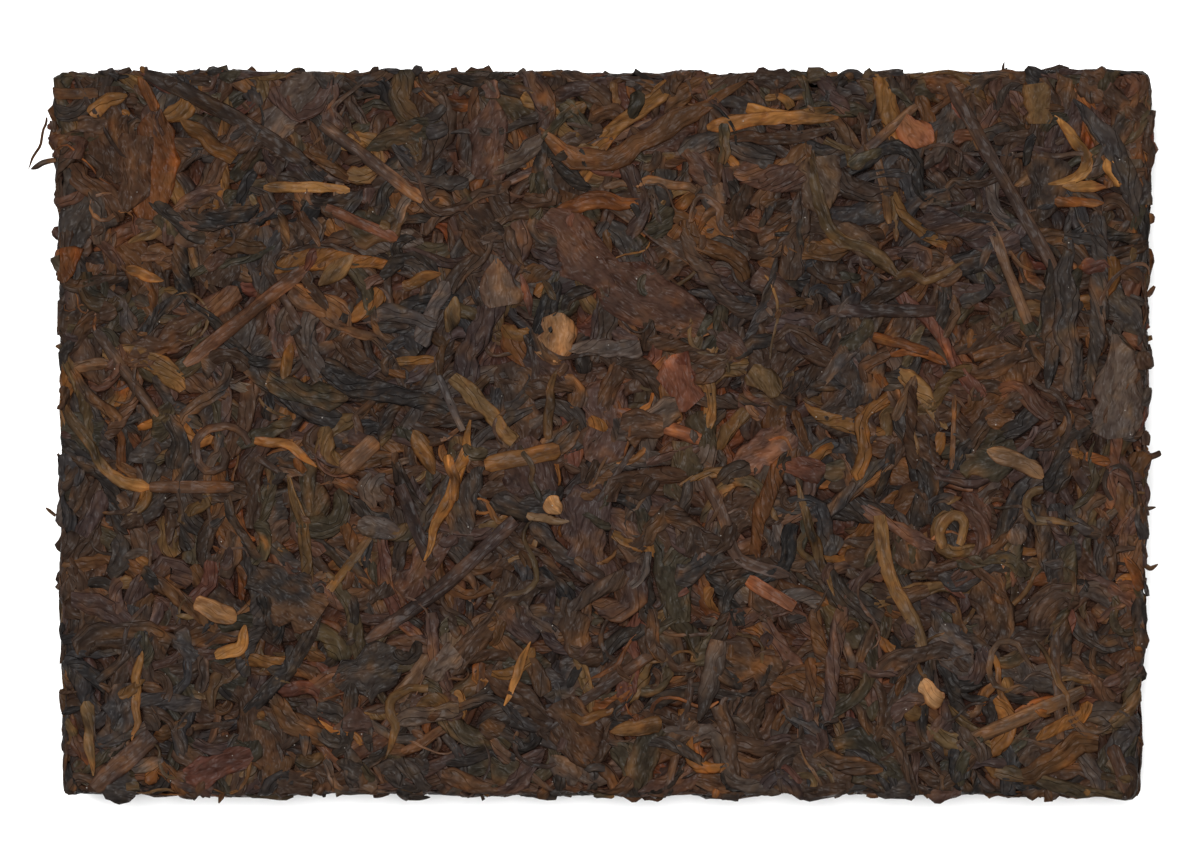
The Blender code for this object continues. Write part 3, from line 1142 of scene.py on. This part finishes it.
def leaf_colour_group():
    """The leaf's own tint with its fibres and blotches, painted shade in its creases and furrows, a
    painted highlight on its wrinkle crests, and a pale bloom that is partly painted sheen.
    """
    tree, nodes, given, result = shader_group(
        "leaf_colour",
        {
            "Tint": (COLOR, (0.03, 0.02, 0.015, 1)),
            "Grain": (VECTOR, (0, 0, 0)),
            "Fibre": (FLOAT, 0.5),
            "Crease": (FLOAT, 0.0),
            "Wrinkle": (FLOAT, 0.5),
            "Contrast": (FLOAT, 0.5),
            "Warmth": (FLOAT, 0.3),
            "Bloom": (FLOAT, 0.2),
        },
        {"Color": COLOR, "Rough": FLOAT},
    )
    blotch = nodes.noise(nodes.stretched(given["Grain"], (0.45, 0.7, 7.0)), 1.0, 2.0, 0.55)
    dark = nodes.mix(1.0, given["Tint"], (0.45, 0.45, 0.45, 1), "MULTIPLY")
    light = nodes.mix(1.0, given["Tint"], (1.55, 1.60, 1.60, 1), "MULTIPLY")
    by_fibre = nodes.mix(given["Fibre"], dark, light)
    colour = nodes.mix(given["Contrast"], given["Tint"], by_fibre)
    warm = nodes.mix(1.0, colour, (1.65, 1.42, 1.05, 1), "MULTIPLY")
    share = nodes.maths("MULTIPLY", nodes.ramp(blotch, 0.50, 0.66), given["Warmth"])
    colour = nodes.mix(share, colour, warm)
    # A pale bloom on the wrinkle crests: partly real bloom, partly a painted sheen.
    bloom_and_sheen_colour = nodes.mix(0.55, colour, (0.028, 0.0228, 0.0188, 1))
    share = nodes.maths("MULTIPLY", nodes.ramp(given["Wrinkle"], 0.52, 0.66), given["Bloom"])
    colour = nodes.mix(share, colour, bloom_and_sheen_colour)
    # Painted highlight on the wrinkle crests and painted shade in the furrows between them.
    lit_crest = nodes.mix(1.0, colour, (1.10, 1.09, 1.07, 1), "MULTIPLY")
    colour = nodes.mix(nodes.ramp(given["Wrinkle"], 0.54, 0.70), colour, lit_crest)
    shaded_furrow = nodes.mix(1.0, colour, (0.76, 0.70, 0.68, 1), "MULTIPLY")
    colour = nodes.mix(nodes.ramp(given["Wrinkle"], 0.47, 0.32), colour, shaded_furrow)
    # Painted shade in the fold creases.
    shaded_crease = nodes.mix(1.0, colour, (0.70, 0.66, 0.64, 1), "MULTIPLY")
    colour = nodes.mix(given["Crease"], colour, shaded_crease)
    nodes.link(colour, result.inputs["Color"])
    # Small spots are polished by the mould.
    polish = nodes.noise(nodes.stretched(given["Grain"], (0.8, 1.6, 9.0)), 1.0, 1.0, 0.5)
    rough = nodes.maths("MULTIPLY_ADD", nodes.ramp(polish, 0.42, 0.62), -0.36)
    rough.node.inputs[2].default_value = 0.84
    nodes.link(rough, result.inputs["Rough"])
    return tree


def tea_dust_and_shade_group():
    """Painted shade in the hollows, and brown powder, stains and pale specks, partly painted glints, over
    everything.
    """
    tree, nodes, given, result = shader_group(
        "tea_dust_and_shade",
        {
            "Color": (COLOR, (0.03, 0.02, 0.015, 1)),
            "Depth": (FLOAT, -0.6),
            "Powder": (FLOAT, 0.25),
        },
        {"Color": COLOR, "Grit": FLOAT},
    )
    place = nodes.add("ShaderNodeTexCoord").outputs["Object"]
    grit = nodes.noise(place, 2600.0, 1.0, 0.6)
    powder = nodes.noise(place, 700.0, 2.0, 0.7)
    region = nodes.noise(place, 45.0, 1.0, 0.5)
    stain = nodes.noise(place, 230.0, 2.0, 0.5)
    warm = nodes.mix(1.0, given["Color"], (1.25, 1.13, 0.99, 1), "MULTIPLY")
    cold = nodes.mix(1.0, given["Color"], (0.83, 0.88, 0.96, 1), "MULTIPLY")
    colour = nodes.mix(nodes.ramp(region, 0.36, 0.64), cold, warm)
    stained = nodes.mix(1.0, colour, (1.55, 1.32, 0.95, 1), "MULTIPLY")
    pale = nodes.add("ShaderNodeRGBToBW")
    nodes.link(given["Color"], pale.inputs[0])
    share = nodes.maths("MULTIPLY", nodes.ramp(stain, 0.54, 0.70), nodes.ramp(pale.outputs[0], 0.06, 0.02))
    colour = nodes.mix(share, colour, stained)
    # Painted shade: the colour is darkened and reddened where the leaf lies deep among its neighbours.
    deep = nodes.ramp(given["Depth"], -0.55, -1.3)
    shaded = nodes.mix(1.0, colour, (0.85, 0.56, 0.46, 1), "MULTIPLY")
    colour = nodes.mix(deep, colour, shaded)
    share = nodes.maths("MULTIPLY", nodes.ramp(powder, 0.54, 0.72), given["Powder"])
    colour = nodes.mix(share, colour, (0.030, 0.0180, 0.0105, 1))
    # A few pale specks: partly dust, partly painted glints.
    speck = nodes.add("ShaderNodeTexVoronoi")
    nodes.feed(speck, Vector=place, Scale=1300.0)
    spot = nodes.ramp(speck.outputs["Distance"], 0.16, 0.06)
    parts = nodes.add("ShaderNodeSeparateColor")
    nodes.link(speck.outputs["Color"], parts.inputs[0])
    few = nodes.ramp(parts.outputs[0], 0.985, 0.987)
    colour = nodes.mix(nodes.maths("MULTIPLY", spot, few), colour, (0.14, 0.125, 0.11, 1))
    nodes.link(colour, result.inputs["Color"])
    nodes.link(grit, result.inputs["Grit"])
    return tree


GROUPS = {}


def leaf_material(name, fold, fibre, contrast, warmth, bloom_and_sheen, bump, gloss):
    """A leaf finish. fold is (width, depth), fibre is (width, length, depth, depth of the crumpled
    skin), and bump is in millimetres."""
    material = bpy.data.materials.new(name)
    material.use_nodes = True
    nodes = Nodes(material.node_tree)
    shader = material.node_tree.nodes["Principled BSDF"]
    grain = nodes.value_of("grain").outputs["Vector"]
    grained = nodes.add("ShaderNodeGroup", node_tree=GROUPS["grain"])
    nodes.feed(grained, Grain=grain, Fold_Width=fold[0], Fold=fold[1])
    nodes.feed(grained, Fibre_Width=fibre[0], Fibre_Length=fibre[1])
    nodes.feed(grained, Fibre=fibre[2], Crumple=fibre[3])
    leaf = nodes.add("ShaderNodeGroup", node_tree=GROUPS["colour"])
    nodes.feed(leaf, Tint=nodes.value_of("tint").outputs["Vector"], Grain=grain)
    nodes.feed(leaf, Fibre=grained.outputs["Fibre"], Crease=grained.outputs["Crease"])
    nodes.feed(leaf, Wrinkle=grained.outputs["Wrinkle"])
    nodes.feed(leaf, Contrast=contrast, Warmth=warmth, Bloom=bloom_and_sheen)
    # The dust group adds powder and stains, and painted shade where the leaf lies deep.
    dust = nodes.add("ShaderNodeGroup", node_tree=GROUPS["dust"])
    nodes.feed(dust, Color=leaf.outputs["Color"], Depth=nodes.value_of("depth").outputs["Fac"])
    nodes.link(dust.outputs["Color"], shader.inputs["Base Color"])
    nodes.link(leaf.outputs["Rough"], shader.inputs["Roughness"])
    height = nodes.maths(
        "ADD", grained.outputs["Height"], nodes.maths("MULTIPLY", dust.outputs["Grit"], 0.06)
    )
    relief = nodes.add("ShaderNodeBump")
    nodes.feed(relief, Height=height, Distance=bump * MM, Strength=1.0)
    nodes.link(relief.outputs["Normal"], shader.inputs["Normal"])
    shader.inputs["Specular IOR Level"].default_value = gloss
    return material


# ---------------------------------------------------------------- the core


def core_mesh():
    """The solid mass of dust and broken leaf under the pieces, with a crumbly surface."""
    cell = np.array((2.8, 2.8, 2.8))
    counts = np.maximum(((HIGH - LOW) / cell).astype(int), 2)
    mesh = bpy.data.meshes.new("core")
    ids = {}
    faces, keys = [], []
    for axis, end in itertools.product(range(3), (0, 1)):
        first, second = [other for other in range(3) if other != axis]
        a, b = np.meshgrid(np.arange(counts[first]), np.arange(counts[second]), indexing="ij")
        corners = np.zeros(a.shape + (4, 3), int)
        corners[..., axis] = end * counts[axis]
        for k, (step_a, step_b) in enumerate(((0, 0), (1, 0), (1, 1), (0, 1))):
            corners[..., k, first] = a + step_a
            corners[..., k, second] = b + step_b
        if not (end == 1) ^ (axis == 1):
            corners = corners[..., ::-1, :]
        keys.append(corners.reshape(-1, 3))
    keys, faces = np.unique(np.concatenate(keys), axis=0, return_inverse=True)
    points = LOW + (HIGH - LOW) * keys / counts
    place, out = on_mould(points)
    crumbly = 0.30 * lumps(place, 3.1, 51) + 0.30 * lumps(place, 1.9, 52)
    crumbly += 0.22 * lumps(place, 1.1, 54)
    place = place + out * (crumbly - 2.3)[:, None]
    totals = np.full(len(faces.ravel()) // 4, 4)
    mesh = mesh_from("core", stray(place), faces.ravel(), totals)
    hues = np.array([HUES["umber"], HUES["earth"], HUES["plum"], HUES["soot"]])
    kind = (lumps(place, 2.4, 53) * 2.5 + lumps(place, 1.2, 55) * 1.5 + 2).clip(0, 3).astype(int)
    add_values(mesh, "tint", hues[kind] * (1.0 + 0.3 * lumps(place, 1.3, 56))[:, None])
    add_values(mesh, "grain", place * 1.3 + 40)
    add_values(mesh, "depth", np.full(len(place), -1.0))
    return mesh


# ---------------------------------------------------------------- floor, light and camera


def stage_scene():
    floor_mesh = bpy.data.meshes.new("floor")
    reach = 4.0
    corners = [(-reach, -reach), (reach, -reach), (reach, reach), (-reach, reach)]
    floor_mesh.from_pydata([(x, y, LOW[2] * MM) for x, y in corners], [], [(0, 1, 2, 3)])
    floor = bpy.data.objects.new("floor", floor_mesh)
    bpy.context.scene.collection.objects.link(floor)
    paper = bpy.data.materials.new("pale_floor")
    paper.use_nodes = True
    shader = paper.node_tree.nodes["Principled BSDF"]
    shader.inputs["Base Color"].default_value = (0.88, 0.88, 0.88, 1)
    shader.inputs["Roughness"].default_value = 0.9
    shader.inputs["Specular IOR Level"].default_value = 0.1
    floor_mesh.materials.append(paper)

    world = bpy.data.worlds.new("studio")
    world.use_nodes = True
    world.node_tree.nodes["Background"].inputs["Color"].default_value = (1.0, 1.0, 1.0, 1)
    world.node_tree.nodes["Background"].inputs["Strength"].default_value = 0.34
    bpy.context.scene.world = world
    add_lamp("overhead", (-0.03, 0.06, 1.20), 0.36, 25.0)
    add_lamp("window", (-0.40, 0.52, 0.95), 0.45, 8.0)


def add_lamp(name, place, size, power):
    """A soft square lamp that points at the brick."""
    lamp_data = bpy.data.lights.new(name, "AREA")
    lamp_data.shape = "SQUARE"
    lamp_data.size = size
    lamp_data.energy = power
    lamp = bpy.data.objects.new(name, lamp_data)
    lamp.location = place
    aim = -lamp.location
    lamp.rotation_euler = aim.to_track_quat("-Z", "Y").to_euler()
    bpy.context.scene.collection.objects.link(lamp)


def add_camera():
    """Straight above the brick, far enough back that its walls don't show."""
    distance = 0.95
    shown = 164.4 * MM  # the width that the frame takes in at the brick's upper face
    camera_data = bpy.data.cameras.new("camera")
    camera_data.sensor_width = 36.0
    camera_data.lens = camera_data.sensor_width * distance / shown
    camera_data.clip_start = 0.01
    camera = bpy.data.objects.new("camera", camera_data)
    camera.location = (-0.4 * MM, 0.4 * MM, HIGH[2] * MM + distance)
    bpy.context.scene.collection.objects.link(camera)
    bpy.context.scene.camera = camera


# ---------------------------------------------------------------- the brick


# How many pieces of each form lie on the face, layer by layer from the lowest.
RECIPE = [
    {"broad_leaf": 440},
    {"leaf": 760, "short_leaf": 1000, "broad_leaf": 110, "flake": 240},
    {"leaf": 760, "short_leaf": 900, "flake": 300, "bit": 900},
    {
        "leaf": 820, "long_leaf": 260, "short_leaf": 800, "broad_leaf": 140, "flake": 300,
        "stem": 60, "bud": 50, "tendril": 200, "bit": 350,
    },
    {"leaf": 20, "short_leaf": 60, "flake": 20, "tendril": 40, "bit": 120},
]


def wall_layers(wall, amounts, level):
    """The layers of leaf on one wall. amounts are shares of the recipe, layer by layer."""
    layers = []
    for recipe, amount in zip(RECIPE, amounts, strict=True):
        layers.append(
            [grow(name, wall, round(count * amount), level) for name, count in recipe.items()]
        )
    return layers


# The meshes that gather several forms, whichever wall they lie on.
GATHERED = {"stem": "stem", "bud": "bud", "tendril": "tendril", "bit": "bit"}
# Forms that share a finish, and so a mesh, on each wall.
KIN = {"flake": "broad_leaf"}


def build_brick():
    GROUPS["grain"] = leaf_grain_group()
    GROUPS["colour"] = leaf_colour_group()
    GROUPS["dust"] = tea_dust_and_shade_group()
    finishes = {
        "leaf": leaf_material(
            "twisted_leaf", (1.2, 0.4), (0.40, 1.6, 0.0, 1.3), 0.0, 0.28, 0.14, 0.46, 0.07
        ),
        "broad_leaf": leaf_material(
            "broad_leaf", (2.6, 0.1), (0.40, 0.9, 0.0, 1.8), 0.0, 0.26, 0.18, 0.50, 0.08
        ),
        "stem": leaf_material(
            "stem", (0.9, 0.2), (0.26, 6.0, 0.12, 0.8), 0.20, 0.25, 0.10, 0.24, 0.08
        ),
        "bud": leaf_material(
            "bud", (0.9, 0.2), (0.28, 3.0, 0.10, 1.4), 0.14, 0.25, 0.06, 0.34, 0.07
        ),
        "tendril": leaf_material(
            "tendril", (0.8, 0.2), (0.28, 3.0, 0.12, 1.3), 0.14, 0.30, 0.08, 0.20, 0.08
        ),
        "bit": leaf_material(
            "broken_leaf", (0.9, 0.2), (0.40, 0.9, 0.03, 1.4), 0.04, 0.30, 0.12, 0.42, 0.07
        ),
    }
    finishes["long_leaf"] = finishes["short_leaf"] = finishes["leaf"]
    finishes["flake"] = finishes["broad_leaf"]
    walls = {
        "face": wall_layers("face", (1.0, 1.0, 1.0, 1.0, 1.0), 0.0),
        "sides": wall_layers("sides", (0.75, 0.22, 0.22, 0.28, 0.2), 0.8),
        "base": wall_layers("base", (0.5, 0.06, 0.06, 0.12, 0.1), 0.0),
    }
    chosen = [lay_by_hand(name, pieces) for name, pieces in CHOSEN.items()]
    walls["face"].insert(4, chosen)
    layers = [
        list(itertools.chain(*parts)) for parts in itertools.zip_longest(*walls.values(), fillvalue=[])
    ]
    filler = pile_up(layers)
    meshes = {}
    for wall, wall_parts in walls.items():
        for batch in itertools.chain(*wall_parts):
            form_name = batch.form.name
            name = GATHERED.get(form_name) or f"{wall}_{KIN.get(form_name, form_name)}"
            meshes.setdefault(name, []).append(batch)
    meshes["bit"].append(filler)
    meshes["tendril"].append(lay_by_hand("tendril", JUTTING, 0.9))
    meshes["edge_flake"] = [eaves("flake", 120, 0.25, 0.5), eaves("short_leaf", 90, 0.25, 0.5)]
    meshes["bit"].append(eaves("bit", 120, 1.0, 0.3))
    for name, batches in meshes.items():
        add_piece(name, join_strips(name, batches), finishes[batches[0].form.name])
    add_piece("core", core_mesh(), leaf_material(
        "crushed_leaf", (4.0, 0.0), (1.0, 1.0, 0.0, 2.0), 0.0, 0.3, 0.2, 0.6, 0.08
    ))


bpy.context.scene.view_settings.view_transform = "Standard"
build_brick()
stage_scene()
add_camera()
